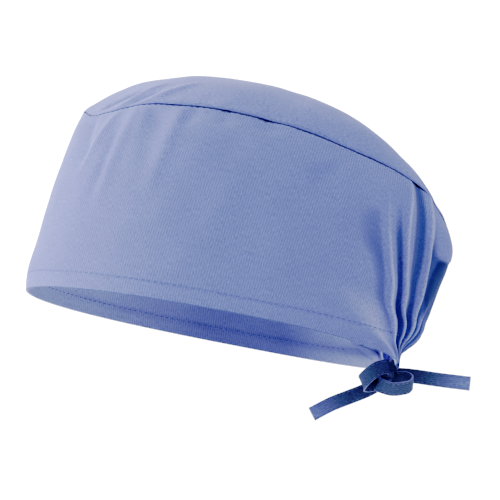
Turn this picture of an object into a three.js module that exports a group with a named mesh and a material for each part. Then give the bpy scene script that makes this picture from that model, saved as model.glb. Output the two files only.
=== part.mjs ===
// A tie-back scrub cap as it sits on a head: a domed crown panel sewn to a deep band,
// the band's hem turned in as a casing, and two flat ties that leave the casing at the
// back, pull the cloth into gathers there and end in a small bow.
//
// Millimetres, +Z up, +X to the wearer's left, -Y to the forehead, +Y to the nape. The
// origin is the centre of the opening for the head. The opening's plane slopes down to
// the nape, so cap shapes are worked out in a level cap frame (x, along, height) and
// turned by that slope at the end. Ties hang, so they are placed in the upright frame.
import * as THREE from 'three';
import { mergeVertices } from 'three/addons/utils/BufferGeometryUtils.js';

// ---- driving dimensions ------------------------------------------------------------
const rimSlope = 11; // degrees, from the forehead down to the nape
const clothWall = 1.6;
const hemWall = 2.5; // the casing: cloth turned in and stitched down
const hemShare = 0.1; // height of the casing as a share of the band
const seamGap = 0.42; // vertical step between band and crown, clear of each other
const tapeWidth = 8;
const tapeThick = 1.2;
const apex = { x: 0, along: -6, height: 136.6 };
const crownFullness = { atFront: 2.86, atBack: 2.62 }; // 1 is a cone, more is a fuller dome

// The band from rim to seam. share 0 is the rim and 1 the seam. front and back are where
// the section ends at the forehead and the nape, half is half its width, middle is where
// it is widest, and the last three are its height at the forehead, the sides and the nape.
const bandSections = [
  { share: 0, front: -102.2, back: 106.2, half: 79, middle: 12, atFront: -1.3, atSide: 0.2, atBack: -2.2 },
  { share: 0.05, front: -103.0, back: 107.6, half: 79.5, middle: 12, atFront: 4, atSide: 5, atBack: 4.6 },
  { share: 0.1, front: -103.3, back: 112.6, half: 80.0, middle: 12, atFront: 9, atSide: 10, atBack: 10 },
  { share: 0.3, front: -101.9, back: 117.3, half: 80.5, middle: 12, atFront: 31, atSide: 33, atBack: 23 },
  { share: 0.55, front: -99.7, back: 121.5, half: 80.5, middle: 13, atFront: 58, atSide: 62, atBack: 43 },
  { share: 0.8, front: -96.2, back: 124.5, half: 76.0, middle: 14, atFront: 84, atSide: 91, atBack: 61 },
  { share: 1, front: -92.3, back: 122.3, half: 66, middle: 15, atFront: 104.2, atSide: 108.4, atBack: 72 },
];
const frontBlunt = 2.15; // superellipse exponents of the plan, 2 is an ellipse
const backBlunt = 2.6;
const frontReach = 3.0; // how narrowly the forehead and nape heights take over
const backReach = 4.0;
// At the nape the rim is drawn down and out to the knot.
const neck = { drop: 1.9, out: 1.8, halfWidth: 4.5, share: 0.07 };
// The seam dips a little on each side of the forehead.
const seamDips = [
  { angle: 27, depth: 7.0, wide: 13 },
  { angle: -32, depth: 3.0, wide: 15 },
];

// Gathers fan out from the knot. A fold keeps one fan number all the way up, and spread
// is how many degrees from the nape the fold numbered 1 lies at each height.
const fan = [
  { share: 0, spread: 11 },
  { share: 0.07, spread: 26 },
  { share: 0.18, spread: 35 },
  { share: 0.4, spread: 41 },
  { share: 0.65, spread: 45 },
  { share: 1, spread: 47 },
];
const fanEdge = 1.6;

// Folds in the gathers: fan number (positive on the wearer's left), how far they rise or
// sink, their half width in fan numbers, and the shares of the band between which they run.
const folds = [
  { fan: 1.38, rise: -2.0, wide: 0.13, low: 0.08, high: 0.62 },
  { fan: 1.17, rise: 1.2, wide: 0.07, low: 0.03, high: 0.75 },
  { fan: 1.09, rise: -1.6, wide: 0.06, low: 0.03, high: 0.72 },
  { fan: 1.0, rise: 1.5, wide: 0.06, low: 0.03, high: 1.0 },
  { fan: 0.86, rise: -1.9, wide: 0.09, low: 0.05, high: 0.98 },
  { fan: 0.64, rise: 2.4, wide: 0.12, low: 0.08, high: 0.98 },
  { fan: 0.42, rise: -1.8, wide: 0.12, low: 0.12, high: 0.6 },
  { fan: -0.35, rise: 1.6, wide: 0.12, low: 0.06, high: 0.7 },
  { fan: -0.56, rise: -1.8, wide: 0.09, low: 0.05, high: 0.85 },
  { fan: -0.74, rise: 1.9, wide: 0.09, low: 0.05, high: 0.98 },
  { fan: -0.9, rise: -1.7, wide: 0.07, low: 0.04, high: 0.95 },
  { fan: -1.04, rise: 1.4, wide: 0.07, low: 0.03, high: 0.85 },
  { fan: -1.2, rise: -1.6, wide: 0.09, low: 0.06, high: 0.7 },
  { fan: -1.38, rise: 0.9, wide: 0.1, low: 0.08, high: 0.6 },
];
// The cloth at the nape bags out over a fold that runs across it.
const pouch = { share: 0.6, soft: 0.05, rise: 1.7, reach: 0.5 };

// Drag lines in the smooth part of the band: where each starts and ends, in degrees from
// the forehead (positive on the wearer's left) and share of the band.
const dragLines = [
  { fromAngle: 43, fromShare: 0.95, toAngle: 33, toShare: 0.5, wide: 4, rise: 1.0 },
  { fromAngle: 49, fromShare: 0.93, toAngle: 48, toShare: 0.38, wide: 4.5, rise: 0.9 },
  { fromAngle: 66, fromShare: 0.94, toAngle: 64, toShare: 0.6, wide: 5, rise: 0.8 },
  { fromAngle: 82, fromShare: 0.78, toAngle: 75, toShare: 0.32, wide: 9, rise: 0.9 },
  { fromAngle: 98, fromShare: 0.64, toAngle: 86, toShare: 0.24, wide: 9, rise: 0.9 },
  { fromAngle: -40, fromShare: 0.94, toAngle: -34, toShare: 0.45, wide: 4.5, rise: 1.0 },
  { fromAngle: -58, fromShare: 0.93, toAngle: -55, toShare: 0.5, wide: 5, rise: 0.8 },
  { fromAngle: -85, fromShare: 0.75, toAngle: -77, toShare: 0.3, wide: 9, rise: 0.9 },
  { fromAngle: -108, fromShare: 0.7, toAngle: -97, toShare: 0.25, wide: 10, rise: 0.8 },
];
const mmPerDegree = 1.4; // along the band, near enough for the width of a drag line
const mmPerShare = 108;

// The knot, and the routes of the bow's loops and tails in the upright frame. w is the
// direction across the tape. Each stretch stops a little short of the knot.
const knot = { x: 0, y: 98.6, z: -26.9, halfX: 3.6, halfY: 3.8, halfZ: 4.2 };
const routes = {
  tie_left_loop: [
    { x: 4.7, y: 99.2, z: -23.2, wx: 0.05, wy: 0.05, wz: 1 },
    { x: 6.6, y: 93.8, z: -24.3, wx: 0.1, wy: 0.1, wz: 1 },
    { x: 6.2, y: 89.0, z: -27.5, wx: 0.15, wy: -0.15, wz: 1 },
    { x: 3.4, y: 85.6, z: -30.8, wx: 0.1, wy: -0.34, wz: 0.94 },
    { x: 0.2, y: 85.6, z: -32.4, wx: 0, wy: -0.36, wz: 0.93 },
    { x: -1.8, y: 88.6, z: -32.8, wx: 0, wy: -0.25, wz: 0.97 },
    { x: -2.2, y: 93.9, z: -31.4, wx: 0, wy: -0.1, wz: 1 },
  ],
  tie_right_loop: [
    { x: -1.8, y: 102.8, z: -29.1, wx: 0.3, wy: 0, wz: 0.95 },
    { x: -3.0, y: 105.6, z: -28.6, wx: 0.56, wy: 0, wz: 0.83 },
    { x: -2.0, y: 109.4, z: -28.7, wx: 0.58, wy: 0, wz: 0.81 },
    { x: 2.0, y: 112.6, z: -30.9, wx: 0.58, wy: 0, wz: 0.81 },
    { x: 6.2, y: 111.0, z: -34.1, wx: 0.58, wy: 0, wz: 0.81 },
    { x: 8.4, y: 106.4, z: -35.5, wx: 0.56, wy: 0, wz: 0.83 },
    { x: 8.4, y: 101.0, z: -35.9, wx: 0.5, wy: 0.08, wz: 0.86 },
    { x: 6.6, y: 96.6, z: -34.4, wx: 0.35, wy: 0.3, wz: 0.88 },
    { x: 4.4, y: 94.0, z: -32.8, wx: 0.2, wy: 0.45, wz: 0.87 },
  ],
  tie_left_tail: [
    { x: -4.6, y: 96.6, z: -29.6, wx: 0, wy: -0.5, wz: 0.84 },
    { x: -4.8, y: 92.2, z: -33.0, wx: 0, wy: -0.5, wz: 0.84 },
    { x: -4.8, y: 87.6, z: -35.5, wx: 0, wy: -0.45, wz: 0.89 },
    { x: -4.6, y: 78.8, z: -39.0, wx: 0, wy: -0.38, wz: 0.93 },
    { x: -3.8, y: 68.6, z: -43.0, wx: 0.05, wy: -0.42, wz: 0.91 },
    { x: -2.4, y: 57.4, z: -48.8, wx: 0.1, wy: -0.53, wz: 0.85 },
  ],
  tie_right_tail: [
    { x: -4.6, y: 99.0, z: -27.2, wx: 0, wy: 0, wz: 1 },
    { x: -6.6, y: 102.4, z: -27.0, wx: 0, wy: 0.04, wz: 1 },
    { x: -8.8, y: 107.5, z: -26.6, wx: 0, wy: 0.1, wz: 1 },
    { x: -9.2, y: 115.0, z: -27.3, wx: 0, wy: 0.12, wz: 0.99 },
    { x: -8.2, y: 128.8, z: -29.4, wx: 0, wy: 0.1, wz: 0.99 },
    { x: -6.0, y: 145.6, z: -31.7, wx: 0.03, wy: 0.03, wz: 1 },
  ],
};

// ---- how finely the solids are faceted ---------------------------------------------
const fanColumns = 54;
const sideColumns = 32;
const bandShares = [0, 0.035, 0.07, 0.1, 0.18, 0.27, 0.36, 0.45, 0.53, 0.58, 0.64, 0.73, 0.86, 1];
const crownColumns = 88;
const crownRows = 9;
const tapeStep = 1.8; // mm between sections of a tape

const crownColour = '#8f9fcf';
const bandColour = '#7688bb';
const tieColour = '#375f9c';

// ---- small helpers -----------------------------------------------------------------
const radians = THREE.MathUtils.degToRad;
const clamp01 = (value) => THREE.MathUtils.clamp(value, 0, 1);
const bell = (value) => Math.exp(-value * value);
const smooth = (from, to, value) => THREE.MathUtils.smoothstep(value, from, to);
const power = (value, exponent) => Math.sign(value) * Math.abs(value) ** exponent;
// An angle round the cap, brought between -180 and 180 degrees from the forehead.
const fromFront = (angle) => THREE.MathUtils.euclideanModulo(angle + 180, 360) - 180;

// One column of a table at any share, as a smooth curve through its rows.
function readTable(rows, column, share) {
  const last = rows.length - 1;
  const at = clamp01(share);
  let row = 0;
  while (row < last - 1 && at > rows[row + 1].share) row += 1;
  const climb = (i) => (rows[i + 1][column] - rows[i][column]) / (rows[i + 1].share - rows[i].share);
  const slopeAt = (i) => {
    if (i === 0) return climb(0);
    if (i === last) return climb(last - 1);
    const before = rows[i].share - rows[i - 1].share;
    const after = rows[i + 1].share - rows[i].share;
    return (climb(i - 1) * after + climb(i) * before) / (before + after);
  };
  const width = rows[row + 1].share - rows[row].share;
  const s = (at - rows[row].share) / width;
  return (
    (2 * s ** 3 - 3 * s ** 2 + 1) * rows[row][column] +
    (s ** 3 - 2 * s ** 2 + s) * width * slopeAt(row) +
    (3 * s ** 2 - 2 * s ** 3) * rows[row + 1][column] +
    (s ** 3 - s ** 2) * width * slopeAt(row + 1)
  );
}

// A solid through rings of equally many points. It closes on itself, or each end is
// closed by a fan to one point.
function loft(rings, ends) {
  const count = rings[0].length;
  const positions = rings.flat().flatMap((p) => [p.x, p.y, p.z]);
  const index = [];
  const spans = ends ? rings.length - 1 : rings.length;
  for (let i = 0; i < spans; i += 1) {
    const here = i * count;
    const next = ((i + 1) % rings.length) * count;
    for (let j = 0; j < count; j += 1) {
      const k = (j + 1) % count;
      index.push(here + j, next + j, next + k, here + j, next + k, here + k);
    }
  }
  if (ends) {
    const first = rings.length * count;
    const lastRing = (rings.length - 1) * count;
    positions.push(ends[0].x, ends[0].y, ends[0].z, ends[1].x, ends[1].y, ends[1].z);
    for (let j = 0; j < count; j += 1) {
      const k = (j + 1) % count;
      index.push(first, j, k);
      index.push(first + 1, lastRing + k, lastRing + j);
    }
  }
  const geometry = new THREE.BufferGeometry();
  geometry.setAttribute('position', new THREE.Float32BufferAttribute(positions, 3));
  geometry.setIndex(index);
  return geometry;
}

// From the level cap frame to the upright frame.
function upright(point) {
  return point.clone().applyAxisAngle(new THREE.Vector3(1, 0, 0), -radians(rimSlope));
}

// ---- the smooth form of the cap ----------------------------------------------------
// A point of the band's smooth form, angle in degrees from the forehead.
function bandForm(angle, share) {
  const section = (column) => readTable(bandSections, column, share);
  const c = Math.cos(radians(angle));
  const s = Math.sin(radians(angle));
  const blunt = frontBlunt + ((backBlunt - frontBlunt) * (1 - c)) / 2;
  const end = c < 0 ? section('back') : section('front');
  const reach = Math.abs(c) ** (2 / (c < 0 ? backBlunt : frontBlunt));
  const level = section('atSide');
  const toFront = ((1 + c) / 2) ** frontReach;
  const toBack = ((1 - c) / 2) ** backReach;
  const turned = fromFront(angle);
  let dip = 0;
  for (const place of seamDips) dip += place.depth * bell((turned - place.angle) / place.wide);
  const x = section('half') * power(s, 2 / blunt);
  const drawn = (c < 0 ? bell(x / neck.halfWidth) : 0) * (1 - smooth(0, neck.share, share));
  return new THREE.Vector3(
    x,
    section('middle') + (end - section('middle')) * reach + neck.out * drawn,
    level + (section('atFront') - level) * toFront + (section('atBack') - level) * toBack
      - dip * clamp01(share) ** 4 - neck.drop * drawn,
  );
}

// A point of the crown's smooth form: rise 0 is the seam and 1 the apex.
function crownForm(angle, rise) {
  const seam = bandForm(angle, 1);
  const toFront = (1 + Math.cos(radians(angle))) / 2;
  const fullness = THREE.MathUtils.lerp(crownFullness.atBack, crownFullness.atFront, toFront);
  const lift = 1 - (1 - rise) ** fullness;
  return new THREE.Vector3(
    THREE.MathUtils.lerp(seam.x, apex.x, rise),
    THREE.MathUtils.lerp(seam.y, apex.along, rise),
    THREE.MathUtils.lerp(seam.z, apex.height, lift) + seamGap,
  );
}

// The direction out of a smooth form, from a small step each way on it.
function outward(form, angle, up) {
  const turn = 0.4;
  const climb = 0.01;
  const low = Math.max(0, up - climb);
  const high = Math.min(1, up + climb);
  const around = form(angle + turn, up).sub(form(angle - turn, up));
  const upwards = form(angle, high).sub(form(angle, low));
  return around.cross(upwards).normalize();
}

// Band and crown share one direction through their thickness where they meet.
function seamOutward(angle) {
  return outward(bandForm, angle, 1).add(outward(crownForm, angle, 0)).normalize();
}

// ---- folds and drag lines ----------------------------------------------------------
function foldRise(fanNumber, share) {
  let rise = 0;
  for (const fold of folds) {
    const length = fold.high - fold.low;
    const run = smooth(fold.low, fold.low + 0.35 * length, share)
      * (1 - smooth(fold.high - 0.4 * length, fold.high, share));
    rise += fold.rise * run * bell((fanNumber - fold.fan) / fold.wide);
  }
  const over = Math.tanh((share - pouch.share) / pouch.soft);
  const run = smooth(0.3, 0.5, share) * (1 - smooth(0.72, 0.95, share));
  return rise + pouch.rise * over * run * bell(fanNumber / pouch.reach);
}

function dragRise(angle, share) {
  let rise = 0;
  for (const line of dragLines) {
    const alongX = (line.toAngle - line.fromAngle) * mmPerDegree;
    const alongY = (line.toShare - line.fromShare) * mmPerShare;
    const x = (angle - line.fromAngle) * mmPerDegree;
    const y = (share - line.fromShare) * mmPerShare;
    const length = Math.hypot(alongX, alongY);
    const run = (x * alongX + y * alongY) / length ** 2;
    const aside = (x * alongY - y * alongX) / length;
    const taper = smooth(-0.1, 0.25, run) * (1 - smooth(0.65, 1.1, run));
    rise += line.rise * taper * bell(aside / line.wide);
  }
  return rise;
}

// ---- side band ---------------------------------------------------------------------
// Columns run round the band. Those in the fan keep their fan number from rim to seam.
function bandColumns() {
  const columns = [];
  for (let i = 0; i <= fanColumns; i += 1) {
    columns.push({ fan: THREE.MathUtils.lerp(fanEdge, -fanEdge, i / fanColumns) });
  }
  for (let i = 1; i < 2 * sideColumns; i += 1) {
    columns.push({ across: THREE.MathUtils.lerp(-1, 1, i / (2 * sideColumns)) });
  }
  return columns;
}

function columnAngle(column, share) {
  const spread = readTable(fan, 'spread', share);
  if ('fan' in column) return 180 - column.fan * spread;
  return column.across * (180 - fanEdge * spread);
}

function bandRing(column) {
  const cloth = (share, depth) => {
    const angle = columnAngle(column, share);
    const out = outward(bandForm, angle, share);
    out.lerp(seamOutward(angle), smooth(0.9, 1, share)).normalize();
    const side = fromFront(angle);
    const fromNape = (180 - Math.abs(side)) / readTable(fan, 'spread', share);
    const rise = foldRise(Math.sign(side) * fromNape, share) + dragRise(side, share);
    return upright(bandForm(angle, share).addScaledVector(out, rise - depth));
  };
  const outside = bandShares.map((share) => cloth(share, 0));
  const inside = [];
  for (const share of bandShares.toReversed()) {
    if (share === hemShare) inside.push(cloth(share + 0.008, clothWall));
    inside.push(cloth(share, share > hemShare ? clothWall : hemWall));
  }
  return outside.concat(inside);
}

// ---- crown panel -------------------------------------------------------------------
function crownShell() {
  const ring = (rise, depth) => {
    const points = [];
    for (let i = 0; i < crownColumns; i += 1) {
      const angle = (360 * i) / crownColumns;
      const out = outward(crownForm, angle, rise);
      out.lerp(seamOutward(angle), 1 - smooth(0, 0.12, rise)).normalize();
      points.push(upright(crownForm(angle, rise).addScaledVector(out, -depth)));
    }
    return points;
  };
  const rises = Array.from({ length: crownRows }, (_, i) => (i / crownRows) ** 1.25);
  const outside = rises.toReversed().map((rise) => ring(rise, 0));
  const inside = rises.map((rise) => ring(rise, clothWall));
  const top = (depth) => upright(new THREE.Vector3(apex.x, apex.along, apex.height + seamGap - depth));
  return loft(outside.concat(inside), [top(0), top(clothWall)]);
}

// ---- ties --------------------------------------------------------------------------
// A flat tape along a route, its wide faces square to the route and to its width.
function tape(route) {
  const line = new THREE.CatmullRomCurve3(route.map((p) => new THREE.Vector3(p.x, p.y, p.z)));
  const across = new THREE.CatmullRomCurve3(route.map((p) => new THREE.Vector3(p.wx, p.wy, p.wz)));
  const steps = Math.round(line.getLength() / tapeStep);
  const rings = [];
  for (let i = 0; i <= steps; i += 1) {
    const at = i / steps;
    const forward = line.getTangent(at);
    const wide = across.getPoint(at);
    wide.addScaledVector(forward, -wide.dot(forward)).setLength(tapeWidth / 2);
    const thick = new THREE.Vector3().crossVectors(forward, wide).setLength(tapeThick / 2);
    const centre = line.getPoint(at);
    const corners = [[-1, -1], [-1, 1], [1, 1], [1, -1]];
    rings.push(corners.map(([w, t]) => centre.clone().addScaledVector(wide, w).addScaledVector(thick, t)));
  }
  return loft(rings, [line.getPoint(0), line.getPoint(1)]);
}

// The knot is a rounded block of wrapped tape, drawn up to the casing's mouth.
function knotBlock() {
  const ball = new THREE.SphereGeometry(1, 18, 12);
  ball.deleteAttribute('normal');
  ball.deleteAttribute('uv');
  const block = mergeVertices(ball, 1e-4);
  const place = block.getAttribute('position');
  for (let i = 0; i < place.count; i += 1) {
    const x = power(place.getX(i), 0.85) * knot.halfX;
    const y = power(place.getY(i), 0.85) * knot.halfY;
    const z = power(place.getZ(i), 0.85) * knot.halfZ;
    place.setXYZ(i, x, y, z);
  }
  return block;
}

// ---- the assembly ------------------------------------------------------------------
function piece(name, geometry, colour) {
  const material = new THREE.MeshStandardMaterial({ color: colour, roughness: 0.85, metalness: 0 });
  const mesh = new THREE.Mesh(geometry, material);
  mesh.name = name;
  return mesh;
}

const cap = new THREE.Group();
cap.add(piece('crown_panel', crownShell(), crownColour));
cap.add(piece('side_band', loft(bandColumns().map(bandRing)), bandColour));
for (const [name, route] of Object.entries(routes)) cap.add(piece(name, tape(route), tieColour));
const knotPiece = piece('tie_knot', knotBlock(), tieColour);
knotPiece.position.set(knot.x, knot.y, knot.z);
cap.add(knotPiece);

export default cap;
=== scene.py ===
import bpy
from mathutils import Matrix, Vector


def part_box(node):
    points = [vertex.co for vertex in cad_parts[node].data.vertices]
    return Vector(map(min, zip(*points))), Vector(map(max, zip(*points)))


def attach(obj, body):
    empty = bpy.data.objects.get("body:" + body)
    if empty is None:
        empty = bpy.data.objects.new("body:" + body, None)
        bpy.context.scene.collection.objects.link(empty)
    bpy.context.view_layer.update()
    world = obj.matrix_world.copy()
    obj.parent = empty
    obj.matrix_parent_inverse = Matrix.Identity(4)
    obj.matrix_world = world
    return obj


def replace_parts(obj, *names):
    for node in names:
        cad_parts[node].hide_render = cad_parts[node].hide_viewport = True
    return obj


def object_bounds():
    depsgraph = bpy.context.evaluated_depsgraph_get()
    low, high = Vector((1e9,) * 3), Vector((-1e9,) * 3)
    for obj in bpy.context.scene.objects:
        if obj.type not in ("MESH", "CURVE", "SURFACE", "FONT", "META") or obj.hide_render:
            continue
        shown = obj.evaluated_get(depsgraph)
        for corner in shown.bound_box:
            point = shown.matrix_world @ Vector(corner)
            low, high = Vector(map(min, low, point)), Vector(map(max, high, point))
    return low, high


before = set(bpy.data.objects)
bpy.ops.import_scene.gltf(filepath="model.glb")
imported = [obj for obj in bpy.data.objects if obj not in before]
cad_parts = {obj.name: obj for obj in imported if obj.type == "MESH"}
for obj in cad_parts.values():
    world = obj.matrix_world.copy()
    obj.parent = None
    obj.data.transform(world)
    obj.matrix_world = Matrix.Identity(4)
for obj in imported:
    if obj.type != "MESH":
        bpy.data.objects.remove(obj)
solidBox = [list(corner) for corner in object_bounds()]

import math

import bmesh
import bpy
import numpy as np
from mathutils import Vector, noise

mm = 0.001  # the tables of the ties, band and crown are in millimetres
body = "root"  # the row has one body, so every piece rides on it
mergeWithin = 0.02 * mm  # places closer than this are one


# A few small helpers

def linear(hexColour):
    # an sRGB hex value as the linear colour that a socket wants
    parts = [int(hexColour[i:i + 2], 16) / 255 for i in (1, 3, 5)]
    parts = [c / 12.92 if c <= 0.04045 else ((c + 0.055) / 1.055) ** 2.4 for c in parts]
    return (*parts, 1.0)


def addNode(tree, kind, values=None, links=None, **settings):
    node = tree.nodes.new("ShaderNode" + kind)
    for name, value in settings.items():
        setattr(node, name, value)
    for socket, value in (values or {}).items():
        node.inputs[socket].default_value = value
    for socket, source in (links or {}).items():
        tree.links.new(source, node.inputs[socket])
    return node


def newMaterial(name):
    material = bpy.data.materials.new(name)
    material.use_nodes = True
    material.node_tree.nodes.clear()
    return material, material.node_tree


def newObject(name, data):
    thing = bpy.data.objects.new(name, data)
    bpy.context.collection.objects.link(thing)
    return thing


def takeMesh(bm, name):
    mesh = bpy.data.meshes.new(name)
    bm.to_mesh(mesh)
    bm.free()
    return mesh


def rework(mesh, change):
    # one change by bmesh, after which the faces point outwards
    bm = bmesh.new()
    bm.from_mesh(mesh)
    change(bm)
    if bm.calc_volume(signed=True) < 0:
        bmesh.ops.reverse_faces(bm, faces=bm.faces)
    bm.to_mesh(mesh)
    bm.free()


def bell(value):
    return np.exp(-value * value)


def smooth(start, end, value):
    part = np.clip((value - start) / (end - start), 0, 1)
    return part * part * (3 - 2 * part)


def signedPower(value, exponent):
    return np.sign(value) * np.abs(value) ** exponent


def unit(vectors):
    return vectors / np.maximum(np.linalg.norm(vectors, axis=-1, keepdims=True), 1e-12)


def runAlong(line):
    # how far along a line of places each of them is
    return np.concatenate([[0], np.cumsum(np.linalg.norm(np.diff(line, axis=0), axis=1))])


def ripples(points, size, seed):
    # soft random waves in space, about size across, from -1 to 1
    flat = points.reshape(-1, 3) / size + seed
    heights = [noise.noise(Vector(place)) for place in flat.tolist()]
    return np.array(heights).reshape(points.shape[:-1])


def toFrame(points):
    # from the level cap frame, in millimetres, to the row frame, in metres
    turn = math.radians(capForm["rimSlope"])
    x, along, height = points[..., 0], points[..., 1], points[..., 2]
    y = along * math.cos(turn) + height * math.sin(turn)
    z = height * math.cos(turn) - along * math.sin(turn)
    return np.stack([x, y, z], axis=-1) * mm


def finishPiece(name, mesh, material):
    piece = newObject(name, mesh)
    mesh.materials.append(material)
    mesh.shade_smooth()
    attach(piece, body)
    return piece


def clothGrid(name, points, uvs, floats):
    # A grid of rows by columns is moved onto the points. Where its first and last lines lie
    # on each other they are merged. The uvs are set before that, so they don't wrap.
    rows, columns = points.shape[:2]
    bm = bmesh.new()
    bmesh.ops.create_grid(bm, x_segments=columns - 1, y_segments=rows - 1, size=1)
    mesh = takeMesh(bm, name)
    flat = np.zeros(len(mesh.vertices) * 3)
    mesh.vertices.foreach_get("co", flat)
    flat = flat.reshape(-1, 3)
    column = np.rint((flat[:, 0] + 1) / 2 * (columns - 1)).astype(int)
    row = np.rint((flat[:, 1] + 1) / 2 * (rows - 1)).astype(int)
    mesh.vertices.foreach_set("co", points[row, column].astype(np.float32).ravel())
    corner = np.zeros(len(mesh.loops), np.int32)
    mesh.loops.foreach_get("vertex_index", corner)
    layer = mesh.uv_layers.new(name="cloth")
    layer.uv.foreach_set("vector", uvs[row, column][corner].astype(np.float32).ravel())
    for key, values in floats.items():
        attribute = mesh.attributes.new(key, "FLOAT", "POINT")
        attribute.data.foreach_set("value", values[row, column].astype(np.float32))
    rework(mesh, lambda bm: bmesh.ops.remove_doubles(
        bm, verts=[v for v in bm.verts if v.is_boundary], dist=mergeWithin))
    return mesh


# The view, the floor and the light

view = {
    "azimuth": 90.0,
    "elevation": -9.5,
    "distance": 0.9,
    "target": (0.0, 0.0234, 0.0425),
    "lens": 116.0,  # mm
    "sensor": 36.0,
    "nearest": 0.05,
}

floorSettings = {
    "drop": 0.25,  # below the lowest tie end
    "radius": 3.0,
    "colour": "#f4f4f6",
    "fadeStart": 0.9,  # from here out it thins away and the backdrop's white shows
    "fadeEnd": 2.2,
    "fadePower": 4.0,
}
backdropSettings = {"radius": 6.0, "glow": 1.2}  # past the top of the film's curve

# azimuth, elevation, size, power and colour
lights = {
    "key": (0, 25, 0.8, 9.6, (1.0, 0.955, 0.98)),
    "rim": (-60, 48, 1.0, 5.9, (1.0, 0.98, 1.0)),
    "nape": (160, 55, 0.8, 4.3, (1.0, 0.98, 1.0)),
    "side": (75, 38, 1.6, 2.7, (1.0, 0.98, 1.0)),
    "low": (8, -5, 0.35, 3.2, (1.0, 0.96, 0.96)),
}
lightDistance = 1.7
world = {"colour": (1.0, 0.985, 1.0), "strength": 0.245}
# How the film turns light into tone: dark tones fall away quickly and light ones are held
# back, so the cloth is deep blue in its folds and pale where it is lit.
filmCurve = ((0, 0), (0.035, 0.008), (0.06, 0.065), (0.09, 0.155), (0.155, 0.35),
             (0.217, 0.45), (0.31, 0.555), (0.565, 0.75), (1, 1))


def aimFrom(thing, azimuth, elevation, distance):
    # azimuth 0 is in front of the forehead and 90 on the wearer's left
    turn, lift = math.radians(azimuth), math.radians(elevation)
    away = (math.sin(turn) * math.cos(lift), -math.cos(turn) * math.cos(lift), math.sin(lift))
    thing.location = Vector(view["target"]) + distance * Vector(away)
    look = Vector(view["target"]) - thing.location
    thing.rotation_euler = look.to_track_quat("-Z", "Y").to_euler()


def makeCamera():
    camera = newObject("camera", bpy.data.cameras.new("camera"))
    camera.data.lens = view["lens"]
    camera.data.sensor_width = view["sensor"]
    camera.data.clip_start = view["nearest"]
    aimFrom(camera, view["azimuth"], view["elevation"], view["distance"])
    bpy.context.scene.camera = camera


def makeLights():
    for name, (azimuth, elevation, size, power, colour) in lights.items():
        lamp = bpy.data.lights.new(name, "AREA")
        lamp.shape = "DISK"
        lamp.size = size
        lamp.energy = power
        lamp.color = colour
        thing = newObject(name, lamp)
        thing.visible_camera = False
        aimFrom(thing, azimuth, elevation, lightDistance)
    sky = bpy.data.worlds.new("studio")
    sky.use_nodes = True
    background = sky.node_tree.nodes["Background"]
    background.inputs["Color"].default_value = (*world["colour"], 1)
    background.inputs["Strength"].default_value = world["strength"]
    bpy.context.scene.world = sky


def setFilm():
    tone = bpy.context.scene.view_settings
    tone.view_transform = "Standard"
    tone.use_curve_mapping = True
    curve = tone.curve_mapping.curves[3]  # the one for all three colours together
    curve.points[0].location = filmCurve[0]
    curve.points[1].location = filmCurve[-1]
    for place in filmCurve[1:-1]:
        curve.points.new(*place)
    tone.curve_mapping.update()


def makeFloor():
    # a pale painted floor that fades into the white of the backdrop
    height = solidBox[0][2] - floorSettings["drop"]
    bm = bmesh.new()
    bmesh.ops.create_circle(bm, cap_ends=True, segments=96, radius=floorSettings["radius"])
    bmesh.ops.translate(bm, verts=bm.verts, vec=(0, 0, height))
    floor = newObject("floor", takeMesh(bm, "floor"))
    paint, tree = newMaterial("paleFloorPaint")
    matt = addNode(tree, "BsdfDiffuse", {"Color": linear(floorSettings["colour"])})
    clear = addNode(tree, "BsdfTransparent")
    place = addNode(tree, "TexCoord")
    level = addNode(tree, "VectorMath", {1: (1, 1, 0)},
                    {0: place.outputs["Object"]}, operation="MULTIPLY")
    far = addNode(tree, "VectorMath", None, {0: level.outputs[0]}, operation="LENGTH")
    fade = addNode(tree, "MapRange",
                   {"From Min": floorSettings["fadeStart"], "From Max": floorSettings["fadeEnd"]},
                   {"Value": far.outputs["Value"]}, interpolation_type="SMOOTHSTEP")
    late = addNode(tree, "Math", {1: floorSettings["fadePower"]},
                   {0: fade.outputs[0]}, operation="POWER")
    mix = addNode(tree, "MixShader", None,
                  {0: late.outputs[0], 1: matt.outputs[0], 2: clear.outputs[0]})
    addNode(tree, "OutputMaterial", None, {"Surface": mix.outputs[0]})
    floor.data.materials.append(paint)


def makeBackdrop():
    # a white surround that only the camera sees, so it lights nothing
    bm = bmesh.new()
    bmesh.ops.create_uvsphere(bm, u_segments=48, v_segments=24, radius=backdropSettings["radius"])
    bmesh.ops.reverse_faces(bm, faces=bm.faces)
    backdrop = newObject("backdrop", takeMesh(bm, "backdrop"))
    paper, tree = newMaterial("whiteBackdrop")
    glow = addNode(tree, "Emission", {"Strength": backdropSettings["glow"]})
    addNode(tree, "OutputMaterial", None, {"Surface": glow.outputs[0]})
    backdrop.data.materials.append(paper)
    for ray in ("diffuse", "glossy", "transmission", "shadow"):
        setattr(backdrop, "visible_" + ray, False)


setFilm()
makeCamera()
makeFloor()
makeBackdrop()
makeLights()
print("camera, floor and lights are in place")


# The cloth. Woven poly-cotton, matt, with a soft light fuzz that shows at grazing angles.

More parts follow.
